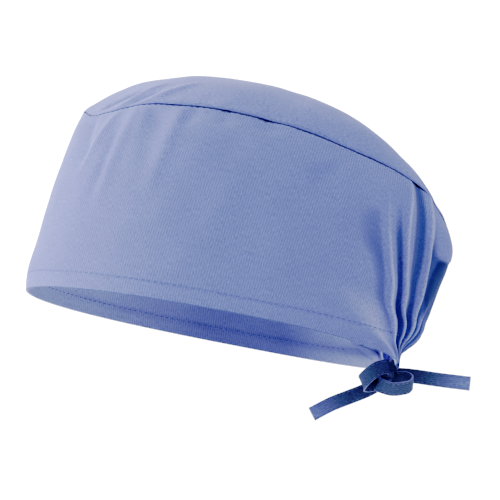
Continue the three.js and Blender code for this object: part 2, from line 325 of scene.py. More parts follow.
def polyCottonTwill(name, settings):
    # Twill weave: fine diagonal ribs, steep because the warp is the denser yarn. Ribs are
    # really about 0.6 mm apart, too fine to show, so they are drawn about twice as coarse.
    material, tree = newMaterial(name)
    flat = addNode(tree, "UVMap", uv_map="cloth")  # millimetres on the flat cloth
    turned = addNode(tree, "Mapping",
                     {"Rotation": (0, 0, math.radians(settings["ribAngle"]))},
                     {"Vector": flat.outputs["UV"]})
    # at a scale of 1 the bands are pi / 10 apart
    ribs = addNode(tree, "TexWave", {"Scale": math.pi / 10 / settings["ribSpacing"]},
                   {"Vector": turned.outputs["Vector"]},
                   wave_type="BANDS", bands_direction="X", wave_profile="SIN")
    yarnPlace = addNode(tree, "Mapping", {"Scale": settings["yarnStretch"]},
                        {"Vector": turned.outputs["Vector"]})
    yarn = addNode(tree, "TexNoise",
                   {"Scale": settings["yarnScale"], "Detail": 3.0, "Roughness": 0.6},
                   {"Vector": yarnPlace.outputs["Vector"]})
    wash = addNode(tree, "TexNoise", {"Scale": settings["washScale"], "Detail": 2.0},
                   {"Vector": flat.outputs["UV"]})
    taut = addNode(tree, "Attribute", attribute_name="taut")
    pulled = addNode(tree, "Mix", {3: 0.5},
                     {0: taut.outputs["Fac"], 2: ribs.outputs["Fac"]}, data_type="FLOAT")
    # the colour is mixed by attributes towards painted shade, towards the pale wrong side with
    # painted light, and towards wear with painted highlight
    colourWithPaintedLight = None
    for key in ("paintedShade", "back", "wearAndHighlight"):
        amount = addNode(tree, "Attribute", attribute_name=key)
        links = {0: amount.outputs["Fac"]}
        if colourWithPaintedLight:
            links[6] = colourWithPaintedLight.outputs[2]
        colourWithPaintedLight = addNode(tree, "Mix",
                       {6: linear(settings["colour"]), 7: linear(settings[key + "Colour"])},
                       links, data_type="RGBA")
    shade = None
    shades = (("ribContrast", (0, 1), pulled.outputs[0]),
              ("yarnContrast", (0.3, 0.7), yarn.outputs["Fac"]),
              ("washContrast", (0.3, 0.7), wash.outputs["Fac"]))
    for key, (low, high), source in shades:
        tone = addNode(tree, "MapRange",
                       {"From Min": low, "From Max": high,
                        "To Min": 1 - settings[key], "To Max": 1 + settings[key]},
                       {"Value": source})
        if shade:
            tone = addNode(tree, "Math", None,
                           {0: shade.outputs[0], 1: tone.outputs[0]}, operation="MULTIPLY")
        shade = tone
    colour = addNode(tree, "VectorMath", None,
                     {0: colourWithPaintedLight.outputs[2], "Scale": shade.outputs[0]}, operation="SCALE")
    ribBump = addNode(tree, "Bump",
                      {"Strength": settings["ribBump"], "Distance": settings["ribHeight"]},
                      {"Height": pulled.outputs[0]})
    yarnBump = addNode(tree, "Bump",
                       {"Strength": settings["yarnBump"], "Distance": settings["yarnHeight"]},
                       {"Height": yarn.outputs["Fac"], "Normal": ribBump.outputs["Normal"]})
    cloth = addNode(tree, "BsdfPrincipled",
                    {"Roughness": 0.92, "IOR": 1.46, "Specular IOR Level": 0.15,
                     "Sheen Weight": settings["sheen"], "Sheen Roughness": 0.45,
                     "Sheen Tint": linear(settings["sheenColour"])},
                    {"Base Color": colour.outputs[0], "Normal": yarnBump.outputs["Normal"]})
    addNode(tree, "OutputMaterial", None, {"Surface": cloth.outputs[0]})
    return material


def sewingThread(name, colour):
    # spun polyester thread: matt, a little rough, with no visible ply at this size
    material, tree = newMaterial(name)
    place = addNode(tree, "TexCoord")
    ply = addNode(tree, "TexNoise", {"Scale": 2500.0, "Detail": 1.0},
                  {"Vector": place.outputs["Object"]})
    bump = addNode(tree, "Bump", {"Strength": 0.4, "Distance": 0.1 * mm},
                   {"Height": ply.outputs["Fac"]})
    thread = addNode(tree, "BsdfPrincipled",
                     {"Base Color": linear(colour), "Roughness": 0.7, "Sheen Weight": 0.2},
                     {"Normal": bump.outputs["Normal"]})
    addNode(tree, "OutputMaterial", None, {"Surface": thread.outputs[0]})
    return material


twill = {
    "colour": "#828ec3",
    "paintedShadeColour": "#314f7c",  # painted shade: darker down in the folds, under the pouch, in the seams' grooves and near the knot, where little light gets
    "backColour": "#b4bfe2",  # the wrong side of the cloth, where the pale weft shows, made paler still as painted light inside the cap
    "wearAndHighlightColour": "#a6b0dc",  # rubbed pale along folded edges, and painted highlight along the crests of the folds
    "sheenColour": "#e4e6f6",
    "sheen": 0.25,
    "ribAngle": 4,  # degrees off the way up
    "ribSpacing": 1.35,  # mm
    "ribContrast": 0.11,
    "ribBump": 0.2,
    "ribHeight": 0.2 * mm,
    "yarnStretch": (1.6, 0.5, 1),
    "yarnScale": 1.1,
    "yarnContrast": 0.2,
    "yarnBump": 0.4,
    "yarnHeight": 0.15 * mm,
    "washScale": 0.045,  # a slow change of tone, as after many washes
    "washContrast": 0.025,
}
# the tape: its painted shade near the knot is paler and greyer than the band's
tape = dict(twill, colour="#8a98c7", paintedShadeColour="#5d6c86", ribSpacing=1.1, ribContrast=0.06)
clothMaterial = polyCottonTwill("polyCottonTwill", twill)
tieMaterial = polyCottonTwill("foldedTwillTape", tape)
# the seam thread is darker than the cloth: its own blue, deepened as painted shade of the seam's
# groove
seamThread = sewingThread("sewingThreadDeepBlue", "#4f6482")
hemThread = sewingThread("sewingThreadBlue", "#6578ae")
tieThread = sewingThread("sewingThreadPale", "#7c88ac")


# The ties: each is one flat tape that leaves the casing at the nape, makes one loop of the
# bow, goes back through the knot and hangs out as a tail.

tieTape = {
    "width": 0.008,  # metres, as in the stitches
    "thickness": 0.0012,
    "step": 0.0006,
    "waveSize": 0.007,  # the tape is a little wavy, most at its edges
    "waveHeight": 0.00018,
    "knotShade": (0.02, 0.052),  # painted shade on the tape near the knot: how far from the knot it is full, and where it ends
    "wearAndHighlight": 0.7,  # how much paler the edges are: wear and painted highlight
    "wearAndHighlightFrom": 0.93,
}
# share of the half width and of the half thickness, from one edge to the middle: fullest
# along the edge, where the cloth turns, and pressed thin along the row of stitches
tapeProfile = ((1, 0), (0.985, 0.6), (0.9, 1), (0.8, 0.72), (0.7, 0.7), (0.58, 0.92), (0.35, 1),
               (0, 0.95))
# place in mm and direction across the tape, from the mouth of the casing to the cut end
tieRoutes = {
    "tieFromLeft": [
        (2.8, 103, -19.5, 0.6, 0.2, 0.75),
        (2, 100, -24, 0.2, 0.1, 0.95),
        (4.7, 99.2, -23.2, 0.05, 0.05, 1),
        (6.6, 93.8, -24.3, 0.1, 0.1, 1),
        (6.2, 89, -27.5, 0.15, -0.15, 1),
        (3.4, 85.6, -30.8, 0.1, -0.34, 0.94),
        (0.2, 85.6, -32.4, 0, -0.36, 0.93),
        (-1.8, 88.6, -32.8, 0, -0.25, 0.97),
        (-2.2, 93.9, -31.4, 0, -0.1, 1),
        (-2, 97.5, -29, 0, 0, 1),
        (-4.6, 99, -27.2, 0, 0, 1),
        (-6.6, 102.4, -27, 0, 0.04, 1),
        (-8.8, 107.5, -26.6, 0, 0.1, 1),
        (-9.2, 115, -27.3, 0, 0.12, 0.99),
        (-8.2, 128.8, -29.4, 0, 0.1, 0.99),
        (-6, 145.6, -31.7, 0.03, 0.03, 1),
    ],
    "tieFromRight": [
        (-2.8, 103, -19.5, -0.6, 0.2, 0.75),
        (-2, 100, -24, -0.2, 0.1, 0.95),
        (-1.8, 102.8, -29.1, 0.3, 0, 0.95),
        (-3, 105.6, -28.6, 0.56, 0, 0.83),
        (-2, 109.4, -28.7, 0.58, 0, 0.81),
        (2, 112.6, -30.9, 0.58, 0, 0.81),
        (6.2, 111, -34.1, 0.58, 0, 0.81),
        (8.4, 106.4, -35.5, 0.56, 0, 0.83),
        (8.4, 101, -35.9, 0.5, 0.08, 0.86),
        (6.6, 96.6, -34.4, 0.35, 0.3, 0.88),
        (4.4, 94, -32.8, 0.2, 0.45, 0.87),
        (0, 95.5, -30, 0, -0.3, 0.9),
        (-4.6, 96.6, -29.6, 0, -0.5, 0.84),
        (-4.8, 92.2, -33, 0, -0.5, 0.84),
        (-4.8, 87.6, -35.5, 0, -0.45, 0.89),
        (-4.6, 78.8, -39, 0, -0.38, 0.93),
        (-3.8, 68.6, -43, 0.05, -0.42, 0.91),
        (-2.4, 57.4, -48.8, 0.1, -0.53, 0.85),
    ],
}
tieNodes = {
    "tieFromLeft": ("tie_left_loop", "tie_right_tail"),
    "tieFromRight": ("tie_right_loop", "tie_left_tail"),
}


def smoothRoute(rows, step):
    # a curve through all the rows, sampled every step, with its knots by the root of each chord
    ends = np.vstack([2 * rows[0] - rows[1], rows, 2 * rows[-1] - rows[-2]])
    out = []
    for i in range(1, len(ends) - 2):
        p = ends[i - 1:i + 3]
        chords = np.linalg.norm(np.diff(p[:, :3], axis=0), axis=1)
        t = np.concatenate([[0], np.cumsum(np.sqrt(np.maximum(chords, 1e-6)))])
        count = max(2, math.ceil(chords[1] / step))
        for at in np.linspace(t[1], t[2], count, endpoint=False):
            mid = [(p[k] * (t[k + 1] - at) + p[k + 1] * (at - t[k])) / (t[k + 1] - t[k])
                   for k in range(3)]
            pair = [(mid[k] * (t[k + 2] - at) + mid[k + 1] * (at - t[k])) / (t[k + 2] - t[k])
                    for k in range(2)]
            out.append((pair[0] * (t[2] - at) + pair[1] * (at - t[1])) / (t[2] - t[1]))
    out.append(rows[-1])
    return np.array(out)


def tapeSection():
    # places once round the tape's section, from its middle
    half = np.array(tapeProfile)
    profile = np.vstack([half * (-1, 1), half[-2::-1]])
    size = np.array([tieTape["width"], tieTape["thickness"]]) / 2
    return np.vstack([profile * size, profile[-2::-1] * size * (1, -1)])


def makeTie(name):
    rows = np.array(tieRoutes[name])
    rows[:, :3] /= 1000  # to metres
    route = smoothRoute(rows, tieTape["step"])
    centres = route[:, :3]
    forward = unit(np.gradient(centres, axis=0))
    wide = unit(route[:, 3:] - forward * (route[:, 3:] * forward).sum(1, keepdims=True))
    thick = np.cross(forward, wide)
    section = tapeSection()
    run = runAlong(centres)
    points = centres[:, None] + wide[:, None] * section[:, :1] + thick[:, None] * section[:, 1:]
    uvs = np.stack(np.meshgrid(runAlong(section) / mm, run / mm), axis=-1)
    edge = np.abs(section[:, 0]) / (tieTape["width"] / 2)
    waves = ripples(points, tieTape["waveSize"], 3.1) * tieTape["waveHeight"]
    points += thick[:, None] * (waves * (0.4 + edge))[..., None]
    knotPlace = np.mean(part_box("tie_knot"), axis=0)
    # painted shade near the knot, where the cap's shadow falls on the ties
    near = 1 - smooth(*tieTape["knotShade"], np.linalg.norm(points - knotPlace, axis=-1))
    # the tape's edges paler: wear and painted highlight
    wearAndHighlight = np.broadcast_to(tieTape["wearAndHighlight"] * smooth(tieTape["wearAndHighlightFrom"], 1.0, edge), near.shape)
    mesh = clothGrid(name, points, uvs, {"paintedShade": near, "wearAndHighlight": wearAndHighlight})
    rework(mesh, lambda bm: bmesh.ops.holes_fill(
        bm, edges=[e for e in bm.edges if e.is_boundary], sides=0))  # closes both ends
    piece = finishPiece(name, mesh, tieMaterial)
    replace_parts(piece, *tieNodes[name])
    return piece, centres, wide, thick, float(run[-1])


def makeStitch(bm, place, along, up, length, width):
    # one thread lying on the cloth: a small blunt grain
    side = up.cross(along).normalized()
    up = along.cross(side).normalized()
    made = bmesh.ops.create_uvsphere(bm, u_segments=6, v_segments=4, radius=0.5)["verts"]
    for vert in made:
        x, y, z = vert.co
        z = math.copysign(abs(2 * z) ** 0.7 / 2, z)
        vert.co = place + along * (z * length) + side * (x * width) + up * (y * width)


sortAlong = Vector((1, 3.1, 7.7))


def stitchedLine(name, places, ups, sewing, material, shown=1.0):
    # stitches along a line of places; shown says how much of a thread's width can be seen
    run = runAlong(places)
    widths = np.broadcast_to(sewing["width"] * shown, run.shape)
    count = int(run[-1] / (sewing["length"] + sewing["gap"]))
    bm = bmesh.new()
    for i in range(count):
        at = (i + 0.5) * run[-1] / count
        ends = [at - sewing["length"] / 2, at + sewing["length"] / 2]
        a, b = [Vector([np.interp(e, run, places[:, k]) for k in range(3)]) for e in ends]
        up = Vector([np.interp(at, run, ups[:, k]) for k in range(3)])
        makeStitch(bm, (a + b) / 2, (b - a).normalized(), up, sewing["length"],
                   np.interp(at, run, widths))
    # put in order, because a sphere's faces come in any
    bm.verts.sort(key=lambda vert: vert.co.dot(sortAlong))
    bm.faces.sort(key=lambda face: face.calc_center_median().dot(sortAlong))
    return finishPiece(name, takeMesh(bm, name), material)


tieStitches = {"length": 0.0016, "gap": 0.0009, "width": 0.00032, "across": 0.76, "lift": 0.36}

for tieName in tieRoutes:
    tie, centres, wide, thick, tieLength = makeTie(tieName)
    rows = []
    for side in (-1, 1):
        offset = wide * (side * tieStitches["across"] * tieTape["width"] / 2)
        for face in (-1, 1):
            onFace = thick * (face * tieStitches["lift"] * tieTape["thickness"])
            rows.append(stitchedLine(f"{tieName}Stitches{len(rows)}", centres + offset + onFace,
                                     thick * face, tieStitches, tieThread))
    print(f"{tieName} is {tieLength / mm:.0f} mm long")


# The knot: the two ties wrapped once round each other and pulled tight

knotForm = {
    "columns": 73,
    "rows": 49,
    "swell": 1.08,  # past the solid, where the wrap lies over it
    "blunt": 0.85,
    "pleats": 5,  # the cloth is squeezed lengthways
    "pleatTwist": 3,
    "pleatDepth": 0.05,
    "waists": ((0.45, 0.16), (-0.5, 0.16)),  # where the wrap bites, and how wide
    "waistDepth": 0.10,
    "uvSize": 4.0,  # mm of cloth for each radian
    # painted shade over the knot, deeper in its pleats and waists
    "shade": 0.75,
}


def makeKnot():
    low, high = np.array(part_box("tie_knot"))
    middle, half = (low + high) / 2, (high - low) / 2
    turn = np.linspace(0, 2 * math.pi, knotForm["columns"])[None, :]
    lift = np.linspace(-math.pi / 2, math.pi / 2, knotForm["rows"])[:, None]
    ball = np.stack([np.cos(lift) * np.cos(turn), np.cos(lift) * np.sin(turn),
                     np.sin(lift) + 0 * turn], axis=-1)
    form = signedPower(ball, knotForm["blunt"])
    pleats = np.sin(knotForm["pleats"] * turn + knotForm["pleatTwist"] * lift) * np.cos(lift)
    pleats = knotForm["pleatDepth"] * pleats
    waist = -knotForm["waistDepth"] * sum(bell((lift - at) / wide) for at, wide in knotForm["waists"])
    points = middle + form * (1 + pleats + waist)[..., None] * half * knotForm["swell"]
    uvs = np.stack(np.broadcast_arrays(turn, lift), axis=-1) * knotForm["uvSize"]
    # painted shade on the knot, deeper where the pleats and waists sink in
    paintedShade = np.clip(knotForm["shade"] - 3 * (pleats + waist), 0.4, 1)
    mesh = clothGrid("tieKnot", points, uvs, {"paintedShade": paintedShade})
    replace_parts(finishPiece("tieKnot", mesh, tieMaterial), "tie_knot")


makeKnot()
print("ties and knot are made")


# The cap's form, the same named values as the part's own

capForm = {
    "rimSlope": 11.0,  # degrees, from the forehead down to the nape
    "apex": (0.0, -6.0, 136.6),
    "crownFullness": (2.86, 2.62),  # at the forehead and at the nape
    "seamGap": 0.42,  # between the band and the crown
    "blunt": (2.15, 2.6),  # superellipse exponents at the forehead and at the nape
    "reach": (3.0, 4.0),  # how quickly the heights at the front and back give way to the side's
    "neckDrop": 1.9,  # how far the casing's mouth is drawn down and out to the knot
    "neckOut": 1.8,
    "neckHalfWidth": 4.5,
    "neckShare": 0.07,
}
# sections of the band from the rim, share 0, to the seam, share 1
bandSections = {
    "share": (0, 0.05, 0.1, 0.3, 0.55, 0.8, 1),
    "front": (-102.2, -103, -103.3, -101.9, -99.7, -96.2, -92.3),
    "back": (106.2, 107.6, 112.6, 117.3, 121.5, 124.5, 122.3),
    "half": (79, 79.5, 80, 80.5, 80.5, 76, 66),
    "middle": (12, 12, 12, 12, 13, 14, 15),
    "atFront": (-1.3, 4, 9, 31, 58, 84, 104.2),
    "atSide": (0.2, 5, 10, 33, 62, 91, 108.4),
    "atBack": (-2.2, 4.6, 10, 23, 43, 61, 72),
}
# angle from the forehead, depth and half width of each dip in the seam
seamDips = ((26, 6.6, 12), (39, 3.2, 8), (49, 1.6, 7), (62, 0.9, 8), (109, 3, 16),
            (141, -1.4, 7), (-32, 3, 15), (-112, 2.2, 16))
# gathers fan out from the knot: degrees from the nape of the fold numbered 1
fanSpread = {
    "share": (0, 0.07, 0.18, 0.4, 0.65, 1),
    "spread": (11, 26, 35, 41, 45, 47),
}
fanEdge = 1.62  # the fan number at which the gathers end


def curveThrough(table, column, share):
    knots = np.array(table["share"], float)
    values = np.array(table[column], float)
    widths = np.diff(knots)
    climbs = np.diff(values) / widths
    inner = (climbs[:-1] * widths[1:] + climbs[1:] * widths[:-1]) / (widths[:-1] + widths[1:])
    slopes = np.concatenate([climbs[:1], inner, climbs[-1:]])
    at = np.clip(share, 0, 1)
    row = np.clip(np.searchsorted(knots, at, side="right") - 1, 0, len(knots) - 2)
    width = widths[row]
    s = (at - knots[row]) / width
    return ((2 * s ** 3 - 3 * s ** 2 + 1) * values[row]
            + (s ** 3 - 2 * s ** 2 + s) * width * slopes[row]
            + (3 * s ** 2 - 2 * s ** 3) * values[row + 1]
            + (s ** 3 - s ** 2) * width * slopes[row + 1])


def fromFront(angle):
    return (angle + 180) % 360 - 180


def bandForm(angle, share):
    # the band's smooth form: angle in degrees from the forehead, share of the way up
    angle, share = np.broadcast_arrays(angle, share)
    sections = {key: curveThrough(bandSections, key, share) for key in bandSections}
    c, s = np.cos(np.radians(angle)), np.sin(np.radians(angle))
    frontBlunt, backBlunt = capForm["blunt"]
    blunt = frontBlunt + (backBlunt - frontBlunt) * (1 - c) / 2
    end = np.where(c < 0, sections["back"], sections["front"])
    reach = np.abs(c) ** (2 / np.where(c < 0, backBlunt, frontBlunt))
    toFront = ((1 + c) / 2) ** capForm["reach"][0]
    toBack = ((1 - c) / 2) ** capForm["reach"][1]
    dip = sum(depth * bell((fromFront(angle) - at) / wide) for at, depth, wide in seamDips)
    x = sections["half"] * signedPower(s, 2 / blunt)
    drawn = np.where(c < 0, bell(x / capForm["neckHalfWidth"]), 0)
    drawn = drawn * (1 - smooth(0, capForm["neckShare"], share))
    along = sections["middle"] + (end - sections["middle"]) * reach + capForm["neckOut"] * drawn
    height = (sections["atSide"] + (sections["atFront"] - sections["atSide"]) * toFront
              + (sections["atBack"] - sections["atSide"]) * toBack
              - dip * np.clip(share, 0, 1) ** 4 - capForm["neckDrop"] * drawn)
    return np.stack([x, along, height], axis=-1)


def crownForm(angle, rise):
    # the crown's smooth form: rise 0 is the seam and 1 the apex
    angle, rise = np.broadcast_arrays(angle, rise)
    seam = bandForm(angle, np.ones_like(rise))
    toFront = (1 + np.cos(np.radians(angle))) / 2
    atFront, atBack = capForm["crownFullness"]
    lift = 1 - (1 - rise) ** (atBack + (atFront - atBack) * toFront)
    part = np.stack([rise, rise, lift], axis=-1)
    dome = seam + (np.array(capForm["apex"]) - seam) * part
    dome[..., 2] += capForm["seamGap"]
    return dome


def outward(form, angle, up):
    around = form(angle + 0.4, up) - form(angle - 0.4, up)
    upwards = form(angle, np.minimum(up + 0.01, 1)) - form(angle, np.maximum(up - 0.01, 0))
    return unit(np.cross(around, upwards))


def seamOutward(angle):
    return unit(outward(bandForm, angle, np.ones_like(angle))
                + outward(crownForm, angle, np.zeros_like(angle)))


# The side band: one strip with its lower edge turned in and stitched down as a casing

band = {
    "cloth": 0.9,  # mm thick where it is single
    "hem": 1.3,  # and where its edge is turned in
    "hemShare": 0.094,  # how far up the turned-in edge reaches
    "allowance": 2.2,  # how deep the seam allowance lies inside, below the crown seam
    "allowanceShare": 0.93,  # where the allowance ends
    "lipRise": 0.02,  # how far up behind the crown's edge it reaches, and how deep there
    "lipDepth": 1.4,
    "fanColumns": 78,  # for each whole fan number
    "sideColumns": 150,
    "outsideRows": 125,
    "insideRows": 36,
    "rimRows": 7,
    "waves": ((30, 0.5, 1.7), (10, 0.2, 5.3)),  # size and height in mm, and seed
    "grooveDepth": 0.7,  # mm, where the crown seam draws the cloth in
    "grooveWidth": 1.3,
    "hemSeam": 0.086,  # share of the way up of the hem's stitches
    "hemGroove": 0.22,
    "hemGrooveWidth": 0.8,
}
# Gathers: lines of crests and dips that fan out from the knot, from the side to the middle
# of the nape. First the fan number of each line on its way up, then its rise in mm.
gatherFans = {
    "share": (0, 0.08, 0.18, 0.3, 0.42, 0.55, 0.7, 0.85, 1),
    "edge": (fanEdge,) * 9,
    "swell": (1.5, 1.5, 1.5, 1.5, 1.52, 1.55, 1.57, 1.58, 1.58),
    "softDip": (1.18, 1.215, 1.245, 1.24, 1.27, 1.31, 1.34, 1.37, 1.4),
    "roundFold": (1.1, 1.15, 1.18, 1.14, 1.17, 1.2, 1.23, 1.26, 1.29),
    "roundEdge": (1.07, 1.125, 1.155, 1.115, 1.145, 1.175, 1.205, 1.235, 1.265),
    "deepDip": (0.97, 1.02, 1.04, 1.01, 1.04, 1.08, 1.12, 1.16, 1.19),
    "thinFold": (0.84, 0.915, 0.965, 0.95, 0.985, 1.01, 1.04, 1.04, 1.03),
    "longDip": (0.74, 0.81, 0.84, 0.79, 0.83, 0.82, 0.87, 0.93, 0.95),
    "bigFold": (0.65, 0.73, 0.745, 0.7, 0.7, 0.71, 0.76, 0.8, 0.8),
    "innerDip": (0.57, 0.65, 0.68, 0.61, 0.58, 0.59, 0.67, 0.71, 0.71),
    "lowFold": (0.5, 0.57, 0.57, 0.46, 0.37, 0.33, 0.32, 0.34, 0.36),
    "lowDip": (0.44, 0.48, 0.47, 0.35, 0.26, 0.22, 0.22, 0.24, 0.26),
    "lastFold": (0.32, 0.34, 0.34, 0.22, 0.14, 0.12, 0.12, 0.12, 0.13),
    "lastDip": (0.2, 0.21, 0.2, 0.13, 0.08, 0.07, 0.07, 0.07, 0.07),
    "middle": (0,) * 9,
}
gatherRises = {
    "share": gatherFans["share"],
    "edge": (0,) * 9,
    "swell": (0.2, 0.3, 0.5, 0.6, 0.5, 0.3, 0.1, 0, 0),
    "softDip": (0, -0.3, -0.7, -1.15, -0.95, -0.55, -0.25, 0, 0),
    "roundFold": (0.7, 1.5, 1.9, 1.9, 1.7, 1.1, 0.4, 0, 0),
    "roundEdge": (0.7, 1.3, 1.6, 1.5, 1.3, 0.8, 0.2, 0, 0),
    "deepDip": (-0.8, -1.5, -2, -2.1, -1.9, -1, -0.2, 0, 0),
    "thinFold": (0.7, 1.3, 1.8, 2, 2.1, 2.1, 1.9, 1.2, 0.3),
    "longDip": (-0.8, -1.4, -1.8, -2, -2, -2, -2, -1.7, -0.8),
    "bigFold": (0.7, 1.3, 1.9, 2.3, 2.5, 2.4, 2.1, 1.6, 0.7),
    "innerDip": (-0.6, -1.3, -2, -2.8, -3, -2.6, -0.8, -0.4, -0.2),
    "lowFold": (0.4, 0.8, 1.2, 0.9, -0.6, -1, 0.2, 0.2, 0.1),
    "lowDip": (-0.5, -1.1, -1.5, -0.9, -0.3, -0.2, 0.1, 0.1, 0),
    "lastFold": (0.3, 0.8, 1.1, 0.9, 0.6, 0.3, 0, 0, 0),
    "lastDip": (-0.3, -0.7, -0.9, -0.8, -0.4, -0.1, 0, 0, 0),
    "middle": (0.1, 0.3, 0.5, 0.5, 0.4, 0.2, 0, 0, 0),
}
# how pointed each line is, and how it differs on the wearer's right: how far its fan number
# moves, and what its rise is multiplied by
gatherLines = {
    "edge": (0, 0, 1),
    "swell": (0, 0.02, 1.2),
    "softDip": (0, 0.02, 1.1),
    "roundFold": (0, -0.01, 0.8),
    "roundEdge": (0.3, -0.01, 0.8),
    "deepDip": (0.3, -0.015, 0.7),
    "thinFold": (0.8, 0.02, 1.1),
    "longDip": (0.3, 0, 0.85),
    "bigFold": (0.9, 0.02, 0.8),
    "innerDip": (0.3, 0, 0.75),
    "lowFold": (0.7, -0.01, 1),
    "lowDip": (0.3, 0.01, 0.8),
    "lastFold": (0.4, 0, 0.9),
    "lastDip": (0.2, 0.01, 1.1),
    "middle": (0, 0, 1),
}
# how much each pointed fold is rubbed pale and carries a painted highlight along its crest, and half
# that width in mm
foldWearAndHighlight = {"roundFold": (0.75, 0.9), "thinFold": (0.8, 0.8), "bigFold": (0.9, 0.8),
            "lowFold": (0.7, 0.8)}
# the cloth at the nape bags out over a crease that runs across it, highest in the middle
pouch = {
    "share": 0.79,  # how high the crease lies in the middle
    "fall": 0.25,  # and how much lower one fan number to the side
    "round": 0.15,
    "soft": 0.012,
    "rise": 1.3,  # mm
    "reach": 0.6,
    "flat": (0.85, 0.2),  # how much less it bags out in the middle, and how wide
}
# where the painted shade lies in the dips and under the pouch: shares of the way up and fan numbers,
# from full to none
foldShade = {
    "nearKnot": (0.1, 0.42),
    "nearKnotFan": (1.05, 1.13),
    "gathers": (1.13, 1.22),
    "pouchFan": (0.45, 0.6),
    "pouchFrom": (0.16, 0.42),
}
# Soft folds down from the seam and dents across the side: degrees from the forehead and
# share where each starts and ends, half width in mm to the fore and to the aft, and rise
# in mm. The wearer's left comes first.
dragLines = (
    (27, 0.97, 35, 0.6, 8, 4.5, -2.1),
    (42, 0.97, 34, 0.55, 3, 2, 1.4),
    (45, 0.84, 43, 0.38, 2.5, 3, -1),
    (50, 0.98, 47, 0.42, 3, 2.5, 1.1),
    (53, 0.98, 54, 0.8, 2, 2, 0.6),
    (57, 0.96, 61, 0.56, 5, 6, -1.3),
    (66, 0.97, 63, 0.46, 3.5, 3, 1.1),
    (69, 0.99, 68, 0.84, 2, 3, -0.8),
    (78, 1, 79.5, 0.87, 2.5, 2.5, -0.9),
    (88.5, 1, 90, 0.88, 2, 2, -1.1),
    (92, 1, 92.5, 0.86, 1.5, 1.5, 0.7),
    (83, 0.84, 75, 0.22, 8, 6, -0.75),
    (106, 0.88, 84, 0.2, 8, 7, -0.5),
    (-24, 0.97, -33, 0.62, 5, 4, -1.6),
    (-38, 0.97, -32, 0.5, 3, 2.5, 1.3),
    (-46, 0.97, -43, 0.45, 3, 3, 0.9),
    (-58, 0.95, -60, 0.55, 5, 5, -1.2),
    (-70, 0.97, -66, 0.5, 3, 3, 0.9),
    (-86, 1, -87, 0.88, 1.5, 2, -0.8),
    (-88, 0.8, -76, 0.25, 5, 5, -0.8),
    (-108, 0.66, -87, 0.22, 5, 6, -0.8),
)
mmPerDegree = 1.4  # along the band at the side
mmPerShare = 108


def fanNumberAt(angle, share):
    # 0 in the middle of the nape and 1 near the deepest gather, below 0 on the wearer's right
    turned = fromFront(angle)
    return np.sign(turned) * (180 - np.abs(turned)) / curveThrough(fanSpread, "spread", share)


def gatherLine(name, share, side):
    # the fan number and the rise of a line on either side of the cap
    _, moved, times = gatherLines[name]
    fan = curveThrough(gatherFans, name, share)
    rise = curveThrough(gatherRises, name, share)
    # on the right the outer folds are pressed flatter near the knot
    flat = 1 - 0.65 * (1 - smooth(0.04, 0.2, share)) * smooth(0.95, 1.1, fan)
    return fan + np.where(side < 0, moved, 0), rise * np.where(side < 0, times * flat, 1)


def gatherRise(fanNumber, share):
    # each line runs into the next: rounded at both, or with a slope where a line is pointed
    fanNumber, share = np.broadcast_arrays(fanNumber, share)
    side, fanOff = np.sign(fanNumber), np.abs(fanNumber)
    rise = np.zeros(share.shape)
    names = list(gatherLines)
    for name, after in zip(names, names[1:]):
        fromFan, fromRise = gatherLine(name, share, side)
        toFan, toRise = gatherLine(after, share, side)
        at = (fromFan - fanOff) / (fromFan - toFan)
        step = toRise - fromRise
        fromSlope, toSlope = 1.5 * gatherLines[name][0] * step, 1.5 * gatherLines[after][0] * step
        curve = (fromRise + (3 * at ** 2 - 2 * at ** 3) * step
                 + (at - 2 * at ** 2 + at ** 3) * fromSlope + (at ** 3 - at ** 2) * toSlope)
        rise = np.where((at >= 0) & (at <= 1), curve, rise)
    return rise + pouchRise(fanNumber, share)


def pouchCrease(fanNumber):
    # the share at which the pouch hangs over, lower towards its corners
    return pouch["share"] - pouch["fall"] * (np.hypot(fanNumber, pouch["round"]) - 0.02)


def pouchRise(fanNumber, share):
    crease = pouchCrease(fanNumber)
    over = smooth(crease - pouch["soft"], crease + pouch["soft"], share)
    full = pouch["rise"] * (1 - smooth(crease, 1.0, share) ** 1.5)
    less, wide = pouch["flat"]
    flat = 1 - less * bell(fanNumber / wide)
    return full * over * flat * np.exp(-np.abs(fanNumber / pouch["reach"]) ** 6)


def bandPaintedShade(fanNumber, share, rise):
    # painted shade, from 0 to 1: how deep in a dip the cloth lies, or under the pouch
    fanOff = np.abs(fanNumber)
    near = 1 - smooth(*foldShade["nearKnot"], share)
    near = near * (1 - smooth(*foldShade["nearKnotFan"], fanOff))
    # in the gathers the dips are shaded almost to their sides, near the knot wholly
    gathered = 1 - smooth(*foldShade["gathers"], fanOff)
    deep = 1.7 - 0.6 * gathered
    full = 1 - 0.35 * gathered * (1 - 0.5 * near)
    dip = np.clip((1.2 * near - 0.3 + 0.2 * gathered - rise) / deep, 0, full)
    crease = pouchCrease(fanNumber)
    under = (1 - smooth(crease - 0.03, crease, share)) * smooth(*foldShade["pouchFrom"], share)
    under = under * (1 - smooth(*foldShade["pouchFan"], fanOff))
    under = under * (1 - 0.3 * bell(fanNumber / pouch["flat"][1]))
    return np.maximum(dip, under)


def bandWearAndHighlight(fanNumber, share):
    # wear and painted highlight, how pale the cloth is: most along the folds' crests, and where the
    # hem is pulled to the knot
    side, fanOff = np.sign(fanNumber), np.abs(fanNumber)
    wearAndHighlight = 0.5 * bell((fanOff - 1.55) / 0.2) * (1 - smooth(0.12, 0.3, share))
    for name, (full, wide) in foldWearAndHighlight.items():
        fan, rise = gatherLine(name, share, side)
        across = (fanOff - fan) * curveThrough(fanSpread, "spread", share) * mmPerDegree
        wearAndHighlight = np.maximum(wearAndHighlight, full * bell(across / wide) * np.clip(rise / 1.6, 0, 1))
    return wearAndHighlight


